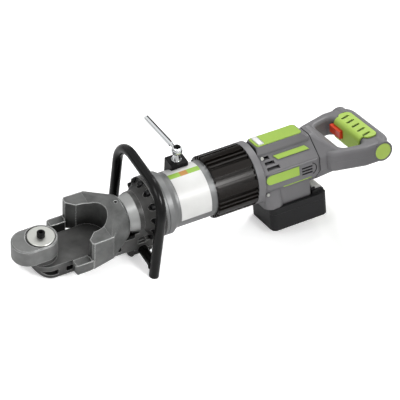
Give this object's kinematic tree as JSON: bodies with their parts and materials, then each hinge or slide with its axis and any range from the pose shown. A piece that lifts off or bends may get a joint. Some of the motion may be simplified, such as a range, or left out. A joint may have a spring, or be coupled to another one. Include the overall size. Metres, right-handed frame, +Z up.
{
  "type": "cordless_rebar_bender",
  "caption": "Cordless hydraulic rebar bender with sliding U fork, bending die, bent bar stand loop, release lever, lime trimmed D handle and slide-on battery",
  "frame": {"origin": "Where the tool's long axis meets the upright axis of the bending die", "axes": "X along the tool from the die back to the handle, Y to the release lever's side, Z up with the die's faces level"},
  "size_m": [0.6374, 0.1997, 0.2065],
  "materials": {
    "cast_paint": "grey enamel over cast iron, slightly rough",
    "cast_grey": "grey enamel over forged steel, worn on the edges",
    "zinc": "zinc plated steel",
    "black_oxide": "black oxide steel",
    "forged_dark": "dark grey metallic paint over forged steel, bright edges",
    "ground_steel": "ground steel",
    "machined_steel": "turned bright steel",
    "seal_rubber": "nitrile rubber",
    "cylinder_paint": "grey satin paint",
    "loop_black": "satin black powder coat",
    "chrome": "chrome plated steel",
    "anodised_black": "black brown anodised extrusion",
    "alu_raw": "machined aluminium",
    "bearing_steel": "bearing steel",
    "motor_steel": "zinc plated can",
    "copper_winding": "enamelled copper on a laminated core",
    "inner_black": "moulded nylon",
    "cover_grey": "glass filled nylon, fine spark texture",
    "lime": "moulded lime plastic",
    "lime_soft": "soft lime elastomer",
    "trigger_red": "moulded red acetal",
    "board_green": "lacquered circuit board",
    "contact_brass": "spring brass",
    "battery_black": "charcoal nylon, fine texture",
    "cell_wrap": "heat shrink sleeve",
    "latch_grey": "pale grey acetal"
  },
  "bodies": {
    "tool": {"frame_casting": "cast_paint", "die_block": "cast_grey", "die_disc": "zinc", "die_screw": "black_oxide", "gland_nose": "machined_steel", "rod_wiper": "seal_rubber", "flange_screws": "black_oxide", "cylinder_body": "cylinder_paint", "stand_loop": "loop_black", "loop_clamp": "cast_paint", "loop_clamp_screws": "black_oxide", "valve_block": "black_oxide", "ribbed_housing": "anodised_black", "pump_body": "alu_raw", "oil_bladder": "seal_rubber", "pump_cap": "alu_raw", "shaft_bearings": "bearing_steel", "gear_case": "alu_raw", "motor_can": "motor_steel", "rotor_bearings": "bearing_steel", "motor_cover": "cover_grey", "cover_screws": "black_oxide", "top_panel": "lime", "side_badges": "lime", "side_strips": "lime", "handle_upper": "cover_grey", "handle_lower": "cover_grey", "grip_sleeve": "lime_soft", "handle_caps": "lime", "trigger_switch": "inner_black", "control_board": "board_green", "dock_terminals": "contact_brass"},
    "ram": {"fork": "forged_dark", "fork_grub_screw": "black_oxide", "piston_rod": "ground_steel", "piston": "ground_steel", "piston_seals": "seal_rubber"},
    "lever": {"valve_spindle": "chrome", "lever_ball": "chrome", "lever_rod": "chrome"},
    "trigger": {"trigger": "trigger_red"},
    "battery": {"battery_lower_case": "battery_black", "battery_upper_case": "battery_black", "battery_cells": "cell_wrap", "battery_contacts": "contact_brass"},
    "latch": {"battery_latch": "latch_grey"},
    "rotor": {"motor_rotor": "copper_winding", "cooling_fan": "inner_black"},
    "eccentric": {"pump_shaft": "ground_steel"}
  },
  "joints": [
    {"name": "ram_slide", "type": "slide", "parent": "tool", "child": "ram", "axis": [-1, 0, 0], "range_m": [0, 0.055]},
    {"name": "valve_lever", "type": "hinge", "parent": "tool", "child": "lever", "pos_m": [0.2465, 0.03, 0.05], "axis": [0, 0, -1], "range_deg": [0, 90]},
    {"name": "trigger_slide", "type": "slide", "parent": "tool", "child": "trigger", "axis": [1, 0, 0], "range_m": [0, 0.006], "stiffness_N_per_m": 900, "springref_m": -0.002},
    {"name": "battery_slide", "type": "slide", "parent": "tool", "child": "battery", "axis": [1, 0, 0], "range_m": [0, 0.09]},
    {"name": "latch_press", "type": "slide", "parent": "battery", "child": "latch", "axis": [0, -0.2588, -0.9659], "range_m": [0, 0.0025], "stiffness_N_per_m": 1500, "springref_m": -0.001},
    {"name": "motor_spin", "type": "hinge", "parent": "tool", "child": "rotor", "pos_m": [0.4, 0, 0], "axis": [1, 0, 0], "continuous": true},
    {"name": "pump_spin", "type": "hinge", "parent": "tool", "child": "eccentric", "pos_m": [0.32, 0, 0], "axis": [1, 0, 0], "continuous": true}
  ],
  "couplings": [
    {"joint": "pump_spin", "follows": "motor_spin", "ratio": 0.2}
  ]
}
